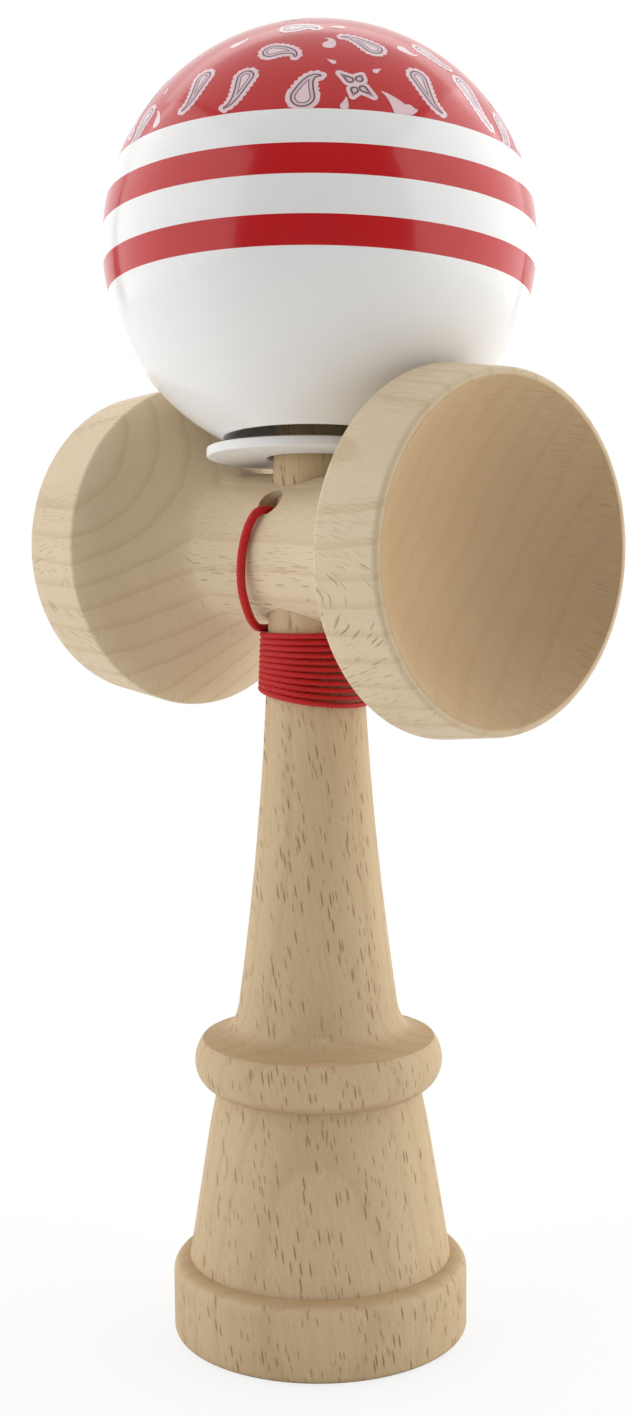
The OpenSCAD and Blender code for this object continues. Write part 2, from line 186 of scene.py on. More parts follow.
# %% The string itself
STRING_D = 1.25 * MM
first, last = len(LOOP) * 4, (len(LOOP) + len(winding) - 1) * 4
tangent, side, over = frames_along(middle)
outward = np.array([(p[0], p[1], 0) for p in middle])
outward -= tangent * (outward * tangent).sum(1)[:, None]
outward /= np.linalg.norm(outward, axis=1)[:, None]
upward = np.cross(tangent, outward)
AROUND = 14
rings = []
for i, p in enumerate(middle):
    turn = (i - first) / (last - first) * TURNS
    pressed = min(max(min(turn + 0.15, TURNS - turn + 0.05) / 0.3, 0), 1)
    pressed = pressed * pressed * (3 - 2 * pressed)
    gap = (wound_height(turn - 0.5) - wound_height(turn + 0.5)) if pressed else PITCH
    flat = 1 + pressed * (0.57 * MM / (STRING_D / 2) - 1)
    low = 1 + pressed * (0.505 * gap / (STRING_D / 2) - 1)
    ring = []
    for k in range(AROUND):
        a = math.tau * k / AROUND
        v = (side[i] * math.cos(a) + over[i] * math.sin(a)) * STRING_D / 2
        ring.append(p + outward[i] * (v @ outward[i]) * flat + upward[i] * (v @ upward[i]) * low)
    rings.append(ring)
string = tube("string", middle, rings)
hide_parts("string_loop", "string_winding", "string_riser")
print("string has", len(string.data.vertices), "points")

# %% [markdown]
# ## The knots
# Both ends of the string are tied in overhand knots: one holds it inside the handle, the other under a bead
# inside the ball. Nobody sees them, but the string would pull out without them. A trefoil curve is the closed
# form of an overhand knot, so a small tube along it stands for each.

# %% Overhand knots
def overhand_knot(name, centre, axis, reach, node, body):
    """Tied knot at a point, wound about an axis and no wider than its reach on each side."""
    t = np.linspace(0, math.tau, 96, endpoint=False)
    line = np.stack([np.sin(t) + 2 * np.sin(2 * t), np.cos(t) - 2 * np.cos(2 * t), -1.35 * np.sin(3 * t)], 1)
    strand = 0.3 * reach
    line *= (reach - strand) / 3
    turn = np.array(Vector((0, 0, 1)).rotation_difference(Vector(axis)).to_matrix())
    line = line @ turn.T + np.array(centre)
    lap = np.vstack([line[-3:], line, line[:3]])
    tang, sid, ovr = (f[3:-3] for f in frames_along(lap))
    rings = [[p + (s * math.cos(a) + o * math.sin(a)) * strand for a in np.linspace(0, math.tau, 12, endpoint=False)]
             for p, s, o in zip(line, sid, ovr)]
    knot = tube(name, np.vstack([line, line[:1]]), rings, closed=True)
    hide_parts(node)
    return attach(knot, body)


BALL_MIDDLE = Vector((0.7, 0.8, 155.478)) * MM
BALL_AXIS = Vector((-0.0905696, 0.107937, 0.990024)).normalized()
hole_way = Vector((0, -0.7716, 0.6361))
handle_knot = overhand_knot("handle_knot", Vector((0, 0, CROSS_Z)) - hole_way * 3.35 * MM, hole_way, 1.75 * MM,
                            "anchor_knot", "ken_body")
ball_knot = overhand_knot("ball_knot", BALL_MIDDLE + BALL_AXIS * 8.85 * MM, BALL_AXIS, 1.65 * MM,
                          "bead_knot", "bead_body")
print("knots:", handle_knot.name, ball_knot.name)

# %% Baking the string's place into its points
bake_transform(string)

# %% [markdown]
# ## Sums on sockets
# Wood, lacquer and string are all sums of noises and distances. Linking Math nodes by hand hides the sum, so a
# small class wraps a socket and lets Python's own signs add the nodes. Every other node comes from its one
# method: the type, then the settings, then the values or links of the sockets.

# %% A socket that can be reckoned with
class Wire:
    """A socket of a node tree. Arithmetic on it adds Math nodes, and make() adds any other node."""

    def __init__(self, tree, socket=None):
        self.tree, self.socket = tree, socket

    def make(self, kind, settings=None, sockets=None, out=0):
        node = self.tree.nodes.new(kind)
        for name, value in (settings or {}).items():
            if name == "stops":
                while len(node.color_ramp.elements) < len(value):
                    node.color_ramp.elements.new(1)
                for element, (place, colour) in zip(node.color_ramp.elements, value):
                    element.position, element.color = place, (*colour, 1)
            else:
                setattr(node, name, value)
        for name, value in (sockets or {}).items():
            if isinstance(value, Wire):
                self.tree.links.new(value.socket, node.inputs[name])
            else:
                node.inputs[name].default_value = value
        return Wire(self.tree, node.outputs[out] if node.outputs else None)

    def sum(self, operation, *values):
        return self.make("ShaderNodeMath", {"operation": operation}, dict(enumerate(values)))

    def __add__(self, other):
        return self.sum("ADD", self, other)

    def __sub__(self, other):
        return self.sum("SUBTRACT", self, other)

    def __rsub__(self, other):
        return self.sum("SUBTRACT", other, self)

    def __mul__(self, other):
        return self.sum("MULTIPLY", self, other)

    def __truediv__(self, other):
        return self.sum("DIVIDE", self, other)

    __radd__, __rmul__ = __add__, __mul__

    def between(self, low, high):
        """0 below low and 1 above high, with a soft step from one to the other."""
        settings = {"interpolation_type": "SMOOTHSTEP"}
        return self.make("ShaderNodeMapRange", settings, {"Value": self, "From Min": low, "From Max": high})

    def towards(self, other, amount):
        """This colour, mixed by an amount into another."""
        return self.make("ShaderNodeMix", {"data_type": "RGBA"}, {0: amount, 6: self, 7: other}, 2)

    def tinted(self, colour, amount):
        """This colour, multiplied by another where the amount is 1."""
        settings = {"data_type": "RGBA", "blend_type": "MULTIPLY"}
        return self.make("ShaderNodeMix", settings, {0: amount, 6: self, 7: (*colour, 1)}, 2)

    def parts(self):
        split = self.make("ShaderNodeSeparateXYZ", None, {0: self})
        return [Wire(self.tree, s) for s in split.socket.node.outputs]

    def joined(self, x, y, z):
        return self.make("ShaderNodeCombineXYZ", None, {0: x, 1: y, 2: z})

    def noise(self, place, scale, detail=2.0, roughness=0.5):
        sockets = {"Vector": place, "Scale": scale, "Detail": detail, "Roughness": roughness}
        return self.make("ShaderNodeTexNoise", None, sockets)

    def bump(self, height, strength, distance):
        return self.make("ShaderNodeBump", None, {"Height": height, "Strength": strength, "Distance": distance})


class Finish:
    """A new material: its shader, and a wire to start from."""

    def __init__(self, name, **constants):
        self.material = bpy.data.materials.new(name)
        self.material.use_nodes = True
        tree = self.material.node_tree
        self.shader = tree.nodes["Principled BSDF"]
        self.wire = Wire(tree)
        for socket, value in constants.items():
            self.shader.inputs[socket.replace("_", " ")].default_value = value

    def feed(self, socket, wire):
        self.wire.tree.links.new(wire.socket, self.shader.inputs[socket])

    def place(self, kind):
        """A texture coordinate: Object is in metres from the foot of the kendama."""
        node = self.wire.make("ShaderNodeTexCoord").socket.node
        return Wire(self.wire.tree, node.outputs[kind])


print("sums on sockets are ready")

# %% [markdown]
# ## Beech
# Handle and cross-piece are turned from beech, sanded and left bare. Beech has quiet growth rings and, as its
# mark, medullary rays: thin sheets that stand out from the heart, a few millimetres high and a third of one
# thick. Cut along the ring they show as short brown dashes, cut across it as pale bands, and on the end as
# lines out from the heart. A picture of wood would show the same dashes on every side, so the figure is
# reckoned in space instead, round a heart that lies outside the piece, and each face cuts it as a saw would.

# %% Beech finish
def beech(name, grain, heart, ring_gap, pale, deep, fleck, figure=0.3, lean=(0, 0, 0), end_tone=0.75, cup=None):
    """Bare beech with its grain along Z or X and the heart of the tree at a point across it, in mm.
    A cup, given by the depth it starts at and its radius, gets painted shade in its hollow: darker and browner, with
    weaker figure."""
    finish = Finish(name, IOR=1.45, Specular_IOR_Level=0.3)
    w = finish.wire
    place = w.make("ShaderNodeMapping", None, {"Vector": finish.place("Object"), "Rotation": lean,
                                               "Scale": (1000, 1000, 1000)})
    x, y, z = place.parts()
    along, a, b = (z, x, y) if grain == "Z" else (x, y, z)
    wander = w.noise(w.joined(a / 26, b / 26, along / 90), 1.0, 2.0)
    out_a, out_b = a - heart[0], b - heart[1]
    ring = w.sum("SQRT", out_a * out_a + out_b * out_b) + wander * 5
    spin = w.sum("ARCTAN2", out_b, out_a) * math.hypot(*heart)
    growth = w.sum("FRACT", ring / ring_gap + w.noise(w.joined(a / 9, b / 9, along / 60), 1.0) * 0.5)
    late = growth.between(0.62, 0.93) * (1 - growth.between(0.95, 1.0))
    fibre = w.noise(w.joined(ring / 0.4, spin / 0.28, along / 13), 1.0, 3.0, 0.6)
    cloud = w.noise(w.joined(a / 11, b / 11, along / 34), 1.0, 2.0)
    pores = w.noise(w.joined(ring / 0.14, spin / 0.14, along / 1.6), 1.0, 1.0).between(0.62, 0.74)

    def rays(thick, high, deep_in, share, shift):
        """Lens-shaped rays scattered through the wood: the cores of a share of stretched cells."""
        cell = w.joined(ring / deep_in + shift, spin / thick, along / high)
        near = w.make("ShaderNodeTexVoronoi", None, {"Vector": cell, "Scale": 1.0, "Randomness": 1.0})
        chosen = Wire(w.tree, near.socket.node.outputs["Color"]).parts()[0].between(1 - share, 1.05 - share)
        return (1 - near.between(0.13, 0.29)) * chosen

    nx, _, nz = finish.place("Normal").parts()
    end = w.sum("ABSOLUTE", nz if grain == "Z" else nx).between(0.45, 0.95)
    ray = w.sum("MAXIMUM", rays(0.48, 4.8, 7, 0.62, 0.0), rays(0.4, 3.2, 5, 0.6, 37.0) * 0.75) * (1 - end)
    wood = w.make("ShaderNodeValToRGB", {"stops": [(0.25, deep), (0.75, pale)]}, {0: fibre * 0.65 + cloud * 0.35})
    if cup:
        up = b - CROSS_Z / MM
        depth, wide = cup
        bowl = (1 - w.sum("SQRT", a * a + up * up).between(wide - 0.4, wide)) * along.between(depth - 2, depth)
        # Painted shade: the cup's hollow, where its faces turn towards +X, is marked for darkening and weaker growth
        # rings.
        painted_cup_shade = bowl * nx.between(0.2, 0.5)
        figure = (1 - painted_cup_shade * 0.6) * figure
    wood = wood.tinted((0.80, 0.73, 0.64), late * figure)
    wood = wood.tinted(fleck, ray * 0.85)
    wood = wood.tinted((0.78, 0.70, 0.60), pores * 0.45)
    wood = wood.tinted((0.74, 0.66, 0.56), end * end_tone)
    # Painted shade in the cup's hollow: darker and browner.
    if cup:
        wood = wood.tinted((0.78, 0.66, 0.53), painted_cup_shade * 0.85)
    finish.feed("Base Color", wood)
    finish.feed("Roughness", 0.50 + fibre * 0.16 + pores * 0.15 + end * 0.08 - ray * 0.06)
    relief = fibre * 0.6 - pores * 0.8 - ray * 0.25 + late * 0.2
    finish.feed("Normal", w.bump(relief, 0.35, 0.00006))
    return finish.material


handle_beech = beech("handle_beech", "Z", (-45, 40), 3.4, (0.64, 0.49, 0.30), (0.52, 0.38, 0.215),
                     (0.50, 0.40, 0.31), lean=(math.radians(-4), math.radians(7), 0))
cross_beech = beech("cross_beech", "X", (-30, 134.6), 3.9, (0.74, 0.62, 0.44), (0.65, 0.515, 0.34),
                    (0.56, 0.45, 0.35), 0.42, end_tone=0.4, cup=(20, 22.9))
for node, wood in (("ken", handle_beech), ("sarado", cross_beech)):
    nodes[node].data.materials.clear()
    nodes[node].data.materials.append(wood)
print("beech on handle and cross-piece")

# %% [markdown]
# ## Collar
# The photographed collar has a crisp upper edge, a flat ledge and a tight round below. The handle's solid stays as
# it is: a new piece starts from a copy of its surface, gets the finer outline and stands for the solid. Whole rings
# of points move, so a geometry node group does it, with a curve that holds how far each height moves out and up.

# %% Finer outline for the handle
def new_group(name):
    """An empty geometry node group: its wire and its incoming mesh."""
    group = bpy.data.node_groups.new(name, "GeometryNodeTree")
    group.interface.new_socket("Mesh", in_out="INPUT", socket_type="NodeSocketGeometry")
    group.interface.new_socket("Mesh", in_out="OUTPUT", socket_type="NodeSocketGeometry")
    return Wire(group), Wire(group).make("NodeGroupInput")


def cubic(points, t):
    p0, p1, p2, p3 = (np.array(p) for p in points)
    return (1 - t) ** 3 * p0 + 3 * (1 - t) ** 2 * t * p1 + 3 * (1 - t) * t * t * p2 + t**3 * p3


SOLID_ROUND, SOLID_FOOT, SOLID_EDGE = (11.95, 39.8, 6.05), -58.06, 41.23
SOLID_SWEEP = [(16.5, 43.787), (13.32, 45.067), (11.836, 46.667), (11.2, 50.187)]
FINE_WIDEST, FINE_LOWER, FINE_UPPER = (17.85, 40.2), (4.24, 75.2), (5.31, 38.4)
MOVE_SPAN = 4
FINE_SWEEP = [(16.7, 43.5), (12.9, 44.0), (11.55, 45.6), (11.2, 50.187)]


def collar_rows():
    """Rings of the collar as (radius, height) in mm: as they are in the solid, and as they should be."""
    rows = []
    mid, height, round_r = SOLID_ROUND
    for angle in np.linspace(SOLID_FOOT, SOLID_EDGE, 17):
        a = math.radians(angle)
        r, reach = FINE_LOWER if angle < 0 else FINE_UPPER
        turn = math.radians(angle * (reach / (-SOLID_FOOT if angle < 0 else SOLID_EDGE)))
        rows.append(((mid + round_r * math.cos(a), height + round_r * math.sin(a)),
                     (FINE_WIDEST[0] - r + r * math.cos(turn), FINE_WIDEST[1] + r * math.sin(turn))))
    return rows + [(cubic(SOLID_SWEEP, t), cubic(FINE_SWEEP, t)) for t in np.arange(1, 9) / 8]


def collar_moves():
    """Node group that takes each ring of the collar from its old place to its new one."""
    w, mesh = new_group("collar_moves")
    x, y, z = w.make("GeometryNodeInputPosition").parts()
    rows = collar_rows()
    low, high = rows[0][0][1], rows[-1][0][1]
    inside = w.sum("GREATER_THAN", z, (low - 0.2) * MM) * w.sum("LESS_THAN", z, (high - 0.01) * MM)

    def moved(column):
        curve = w.make("ShaderNodeFloatCurve", None, {"Value": (z / MM - low) / (high - low)})
        points = curve.socket.node.mapping.curves[0].points
        while len(points) < len(rows):
            points.new(0.5, 0.5)
        for point, (old, new) in zip(points, rows):
            point.location = ((old[1] - low) / (high - low), (new[column] - old[column]) / MOVE_SPAN + 0.5)
            point.handle_type = "VECTOR"
        curve.socket.node.mapping.update()
        return (curve - 0.5) * MOVE_SPAN * inside * MM

    out = moved(0) / w.sum("SQRT", x * x + y * y + 1e-12)
    offset = w.joined(x * out, y * out, moved(1))
    mesh = w.make("GeometryNodeSetPosition", None, {"Geometry": mesh, "Offset": offset})
    w.make("NodeGroupOutput", None, {0: mesh})
    return w.tree


def finer_piece(name, node, moves):
    """A new piece from a copy of a solid's surface, with a finer outline, which stands for that solid."""
    piece = bpy.data.objects.new(name, nodes[node].data.copy())
    bpy.context.scene.collection.objects.link(piece)
    piece.modifiers.new(moves.name, "NODES").node_group = moves
    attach(piece, "ken_body")
    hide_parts(node)
    return piece


handle = finer_piece("handle", "ken", collar_moves())
print(len(collar_rows()), "rings of the collar moved")

# %% [markdown]
# ## Smooth turning
# A lathe leaves a flowing surface, but the solids' fillets come as narrow cones, each with its own normals. The
# points must stay where they are, so a small geometry node group joins the faces and keeps an edge sharp only
# where the turner made a real corner.

# %% Smooth normals on the turned pieces
def turned_normals():
    w, mesh = new_group("turned_normals")
    mesh = w.make("GeometryNodeMergeByDistance", None, {"Geometry": mesh, "Distance": 0.002 * MM})
    corner = w.make("GeometryNodeInputMeshEdgeAngle")
    corner = w.make("FunctionNodeCompare", {"operation": "GREATER_THAN"}, {0: corner, 1: math.radians(34)})
    mesh = w.make("GeometryNodeSetMeshNormal", None, {"Mesh": mesh, "Remove Custom": True, "Edge Sharpness": corner})
    w.make("NodeGroupOutput", None, {0: mesh})
    return w.tree


turned = turned_normals()
for piece in (handle, nodes["sarado"], nodes["spacer_washer"], nodes["tama_bead"]):
    piece.modifiers.new("turned_normals", "NODES").node_group = turned
print("smooth normals on", len(handle.data.vertices), "points of the handle")

# %% [markdown]
# ## The ball
# The ball is turned from wood, drilled, sprayed white and then masked for the red: a cap above and two bands
# round the middle. A shader could colour it by height, but the masked edges are crisp lines, so the lathe
# outline gets a point at each edge and every strip of faces takes its own lacquer.

# %% Turning a ball from an outline
BALL_R = 30.0
BAND_EDGES = [10.04, 5.39, 1.38, -3.60, -7.40]
WHITE, RED, BARE = 0, 1, 2


def ball_outline():
    """Points (radius, height) from the string hole over the outside into the bore, and each span's lacquer."""
    points, lacquer = [(1.2, 18.9), (1.2, 23.5)], [BARE, BARE]
    for a in np.linspace(180, 84.56, 9):
        points.append((2.7 + 1.5 * math.cos(math.radians(a)), 28.372 + 1.5 * math.sin(math.radians(a))))
        lacquer.append(RED)
    heights = [BALL_R * math.cos(math.radians(a)) for a in np.linspace(7.2, 154, 82)]
    heights = sorted([h for h in heights if min(abs(h - e) for e in BAND_EDGES) > 0.25] + BAND_EDGES, reverse=True)
    for i, h in enumerate(heights):
        below = heights[i + 1] if i + 1 < len(heights) else h - 1
        level = (h + below) / 2
        edges_above = sum(level < e for e in BAND_EDGES)
        points.append((math.sqrt(BALL_R**2 - h * h), h))
        lacquer.append(RED if edges_above % 2 == 0 and edges_above < 5 else WHITE)
    rim = [(13.18, -26.95), (12.98, -27.02), (12.72, -26.80), (11.25, -25.33), (11.06, -25.05), (11.0, -24.7)]
    points += rim + [(11.0, 9.0), (4.7, 9.0), (4.7, 18.9)]
    lacquer += [WHITE] * len(rim) + [BARE] * 3
    return points, lacquer


def lathe(name, outline, strips, segments=192):
    """Closed turned mesh from an outline in mm; each span of the outline takes its own material."""
    ring = [(math.cos(math.tau * k / segments), math.sin(math.tau * k / segments)) for k in range(segments)]
    verts = [(r * c * MM, r * s * MM, h * MM) for r, h in outline for c, s in ring]
    faces, slots = [], []
    for i in range(len(outline)):
        j = (i + 1) % len(outline)
        for k in range(segments):
            m = (k + 1) % segments
            faces.append((i * segments + k, j * segments + k, j * segments + m, i * segments + m))
            slots.append(strips[i])
    mesh = bpy.data.meshes.new(name)
    mesh.from_pydata(verts, [], faces)
    mesh.polygons.foreach_set("material_index", slots)
    mesh.shade_smooth()
    mesh.set_sharp_from_angle(angle=math.radians(35))
    piece = bpy.data.objects.new(name, mesh)
    bpy.context.scene.collection.objects.link(piece)
    return piece


BALL_TURN = Vector((0, 0, 1)).rotation_difference(BALL_AXIS).to_matrix().to_4x4()
BALL_PLACE = Matrix.Translation(BALL_MIDDLE) @ BALL_TURN
ball = lathe("ball", *ball_outline())
ball.data.transform(BALL_PLACE)
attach(ball, "tama_body")
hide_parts("tama")
print("ball has", len(ball.data.polygons), "faces")

# %% [markdown]
# ## Gloss lacquer
# Sprayed lacquer levels out but never quite: it keeps a faint orange peel a millimetre or two wide, which only
# shows where a light's edge is mirrored. The clear coat makes the mirror image, and the pigment below is even,
# with a slight drift in tone.

# %% Lacquers
def lacquer(name, colour, drift):
    finish = Finish(name, IOR=1.5, Specular_IOR_Level=0.3, Coat_Weight=0.25, Coat_Roughness=0.04, Coat_IOR=1.5)
    w = finish.wire
    place = finish.place("Object")
    cloud = w.noise(place, 70, 2.0)
    peel = w.noise(place, 620, 1.0)
    dust = w.noise(place, 2600, 1.0).between(0.74, 0.80)
    base = w.make("ShaderNodeValToRGB", {"stops": [(0.3, drift), (0.7, colour)]}, {0: cloud})
    finish.feed("Base Color", base.tinted((0.86, 0.84, 0.82), dust * 0.35))
    finish.feed("Roughness", 0.16 + cloud * 0.10 + dust * 0.2)
    finish.feed("Normal", w.bump(peel, 0.10, 0.00004))
    return finish.material


white_lacquer = lacquer("white_lacquer", (0.87, 0.868, 0.858), (0.85, 0.845, 0.833))
red_lacquer = lacquer("red_lacquer", (0.545, 0.0125, 0.0145), (0.515, 0.0112, 0.013))
bore_wood = beech("bore_beech", "Z", (50, 20), 3.6, (0.62, 0.46, 0.29), (0.52, 0.37, 0.22), (0.66, 0.56, 0.44))
for finish in (white_lacquer, red_lacquer, bore_wood):
    ball.data.materials.append(finish)
print("lacquers:", white_lacquer.name, red_lacquer.name)

# %% [markdown]
# ## The print on the cap
# The red cap carries a bandana pattern: paisley drops with scalloped edges, commas and petals in pale pink with
# mauve lines, cut off where the white begins. An image could be wrapped on, but a drop is simply a chain of
# circles along a curved spine, so each one is drawn as nested outlines of that chain. The print is a thin film
# a few hundredths of a millimetre proud of the lacquer.

# %% Outline of a drop
SCALLOP = 0.78


def drop_outlines(length, bulb, tip, bend, hook, insets, scallop):
    """Nested outlines of circles that shrink along a spine, each symmetric about the spine's two ends."""
    steps = 34
    s = np.linspace(0, 1, steps)
    heading = np.radians(90 + bend * s + hook * s**4)
    way = np.stack([np.cos(heading), np.sin(heading)], 1)
    spine = np.vstack([[0, 0], np.cumsum(way[:-1] * length / (steps - 1), axis=0)])
    radius = tip + (bulb - tip) * (1 - s) ** 1.15
    slope = np.gradient(radius, length / (steps - 1)).clip(-0.95, 0.95)
    normal = np.stack([-way[:, 1], way[:, 0]], 1)
    half = [(0, a) for a in np.linspace(math.pi, math.acos(-slope[0]), 9)[:-1]]
    half += [(i, math.acos(-slope[i])) for i in range(steps)]
    half += [(steps - 1, a) for a in np.linspace(math.acos(-slope[-1]), 0, 5)[1:]]
    outlines = []
    for level, inset in enumerate(insets):
        sides = []
        for sign in (1, -1):
            row, run, before = [], 0.0, None
            for i, a in half:
                way_out = way[i] * math.cos(a) + normal[i] * math.sin(a) * sign
                plain = spine[i] + way_out * radius[i]
                run += 0 if before is None else float(np.linalg.norm(plain - before))
                before = plain
                ripple = scallop * (abs(math.sin(run / SCALLOP * math.pi)) - 0.5) if level == 0 else 0
                row.append(spine[i] + way_out * max(radius[i] - inset + ripple, 0.05 - 0.008 * level))
            sides.append(row)
        outlines.append(np.array(sides[0] + sides[1][-2:0:-1]))
    return outlines


print("a drop has", len(drop_outlines(5, 1.4, 0.3, 20, 60, [0], 0)[0]), "points round it")

# %% Laying a drop on the ball
PALE, MAUVE, LILAC = 0, 1, 2
film = {"verts": [], "faces": [], "slots": []}
FILM_TOP, FILM_FOOT = 0.03, -0.12


def lay_on_ball(points, azimuth, latitude, height):
    """Flat points in mm, laid round a place on the ball without changing their lengths."""
    az, lat = math.radians(azimuth), math.radians(latitude)
    n = np.array([math.cos(lat) * math.cos(az), math.cos(lat) * math.sin(az), math.sin(lat)])
    east = np.array([-math.sin(az), math.cos(az), 0])
    north = np.cross(n, east)
    rho = np.linalg.norm(points, axis=1)[:, None]
    toward = (points[:, :1] * east + points[:, 1:] * north) / np.maximum(rho, 1e-9)
    return (n * np.cos(rho / BALL_R) + toward * np.sin(rho / BALL_R)) * (BALL_R + height) * MM


def print_drop(azimuth, latitude, turn, outlines, bands):
    """One closed film: nested bands on top, a wall round it, and a foot below the lacquer."""
    t = math.radians(turn)
    spin = np.array([[math.cos(t), math.sin(t)], [-math.sin(t), math.cos(t)]])
    count = len(outlines[0])
    base = sum(len(v) for v in film["verts"])
    layers = [lay_on_ball(o @ spin, azimuth, latitude, FILM_TOP) for o in outlines]
    film["verts"] += layers + [lay_on_ball(outlines[0] @ spin, azimuth, latitude, FILM_FOOT)]
    at = lambda level, k: base + level * count + k % count
    foot, inner = len(outlines), len(outlines) - 1
    for k in range(count):
        for level in range(inner):
            film["faces"].append((at(level, k), at(level + 1, k), at(level + 1, k + 1), at(level, k + 1)))
            film["slots"].append(bands[level])
        film["faces"].append((at(foot, k), at(0, k), at(0, k + 1), at(foot, k + 1)))
        film["slots"].append(bands[0])
    for k in range(count // 2):
        across_drop = [k, k + 1] + [count - k - 1] * (k < count // 2 - 1) + [count - k] * (k > 0)
        film["faces"].append(tuple(at(inner, i) for i in reversed(across_drop)))
        film["faces"].append(tuple(at(foot, i) for i in across_drop))
        film["slots"] += [bands[inner], bands[0]]


def paisley(azimuth, latitude, turn, length, bulb, bend, hook):
    """Scalloped drop with a mauve line inside its edge and another round its core."""
    outlines = drop_outlines(length, bulb + 0.25, 0.36, bend, hook, [-0.42, 0.12, 0.36, 0.70, 0.84], 0.26)
    print_drop(azimuth, latitude, turn, outlines, [PALE, MAUVE, LILAC, MAUVE, PALE])


def comma(azimuth, latitude, turn, length, bulb, bend, hook):
    """Small plain drop."""
    print_drop(azimuth, latitude, turn, drop_outlines(length, bulb, 0.08, bend, hook, [0, 0.25], 0.0), [PALE, PALE])


def leaves(azimuth, latitude):
    """Four lined leaves that spread from one middle."""
    for angle, long in ((138, 1.7), (64, 0.9), (254, 1.1), (-42, 1.8)):
        t, r = math.radians(angle), 1.05
        az = azimuth + math.degrees(r * math.cos(t) / BALL_R / math.cos(math.radians(latitude)))
        lat = latitude + math.degrees(r * math.sin(t) / BALL_R)
        outlines = drop_outlines(long, 0.66, 0.10, 0, 0, [-0.42, 0.06, 0.36], 0.0)
        print_drop(az, lat, angle - 90, outlines, [PALE, MAUVE, LILAC])


print("ready to print on a ball of", BALL_R * 2, "mm")

# %% Where the drops lie
# Azimuth and latitude on the ball, turn, length, bulb, bend and hook
PAISLEYS = [
    (-79.5, 33.5, 178, 5.6, 1.05, -6, -50), (-64, 30.8, 172, 5.4, 1.1, -6, -60),
    (-58, 40.3, -82, 4.0, 1.25, -38, -70), (-46.8, 23.0, -8, 4.6, 1.5, -10, -95), (-24.6, 42.4, 40, 4.6, 1.2, 8, 45),
    (-12.4, 32.8, -172, 6.0, 1.1, 6, 50), (7.4, 35.4, -176, 7.2, 1.15, 6, 55), (-100.4, 26.5, 170, 4.6, 1.1, -8, -60),
    (-54.5, 53.5, -70, 3.6, 1.1, -30, -60), (-1.5, 47, -150, 4.2, 1.0, 10, 60)]
COMMAS = [
    (-39.6, 42.6, -42, 2.4, 0.85, 95, 70), (-12.6, 44.6, -150, 2.4, 0.8, 60, 60), (-20.6, 20.6, 32, 3.6, 1.2, 10, 20),
    (-18.4, 21.2, -100, 1.2, 0.8, 30, 20), (-92.2, 22.0, 10, 2.6, 0.7, 20, 40), (-36, 20.4, -20, 1.4, 0.55, 10, 20),
    (-38.4, 35.0, 55, 0.9, 0.36, 0, 0), (-26.2, 32.6, -55, 0.9, 0.38, 0, 0), (-96.5, 33.0, 20, 1.0, 0.36, 0, 0),
    (-75, 46.5, -60, 2.4, 0.7, 50, 60), (-34, 54, 80, 1.6, 0.6, 30, 60)]


def bandana_side(shift):
    """One side of the pattern, turned round the ball by so many degrees."""
    for azimuth, *shape in PAISLEYS:
        paisley(shift + azimuth, *shape)
    for azimuth, *shape in COMMAS:
        comma(shift + azimuth, *shape)
    leaves(shift - 32.4, 27.4)


for shift in (0, 121, 241):
    bandana_side(shift)
for azimuth, latitude, turn in ((20, 66, 60), (110, 68, 150), (205, 65, -110), (300, 67, -20)):
    paisley(azimuth, latitude, turn, 4.2, 1.05, 12, 60)
print(len(film["faces"]), "faces of print")

# %% Cutting the print at the white band
film_mesh = bpy.data.meshes.new("print")
film_mesh.from_pydata(np.vstack(film["verts"]).tolist(), [], film["faces"])
film_mesh.polygons.foreach_set("material_index", film["slots"])
cut = bmesh.new()
cut.from_mesh(film_mesh)
whole = cut.verts[:] + cut.edges[:] + cut.faces[:]
white_begins = (0, 0, (BAND_EDGES[0] + 0.02) * MM)
bmesh.ops.bisect_plane(cut, geom=whole, plane_co=white_begins, plane_no=(0, 0, 1), clear_inner=True)
bmesh.ops.holes_fill(cut, edges=[e for e in cut.edges if e.is_boundary])
bmesh.ops.recalc_face_normals(cut, faces=cut.faces)
open_edges = sum(not e.is_manifold for e in cut.edges)
cut.to_mesh(film_mesh)
cut.free()
film_mesh.shade_smooth()
film_mesh.set_sharp_from_angle(angle=math.radians(35))
printed = bpy.data.objects.new("print", film_mesh)
bpy.context.scene.collection.objects.link(printed)
film_mesh.transform(BALL_PLACE)
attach(printed, "tama_body")
for name, colour, drift in (("print_pale", (0.82, 0.61, 0.64), (0.78, 0.56, 0.59)),
                            ("print_mauve", (0.190, 0.065, 0.105), (0.16, 0.05, 0.085)),
                            ("print_lilac", (0.66, 0.54, 0.58), (0.60, 0.47, 0.52))):
    film_mesh.materials.append(lacquer(name, colour, drift))
print("print has", len(film_mesh.polygons), "faces and", open_edges, "open edges")
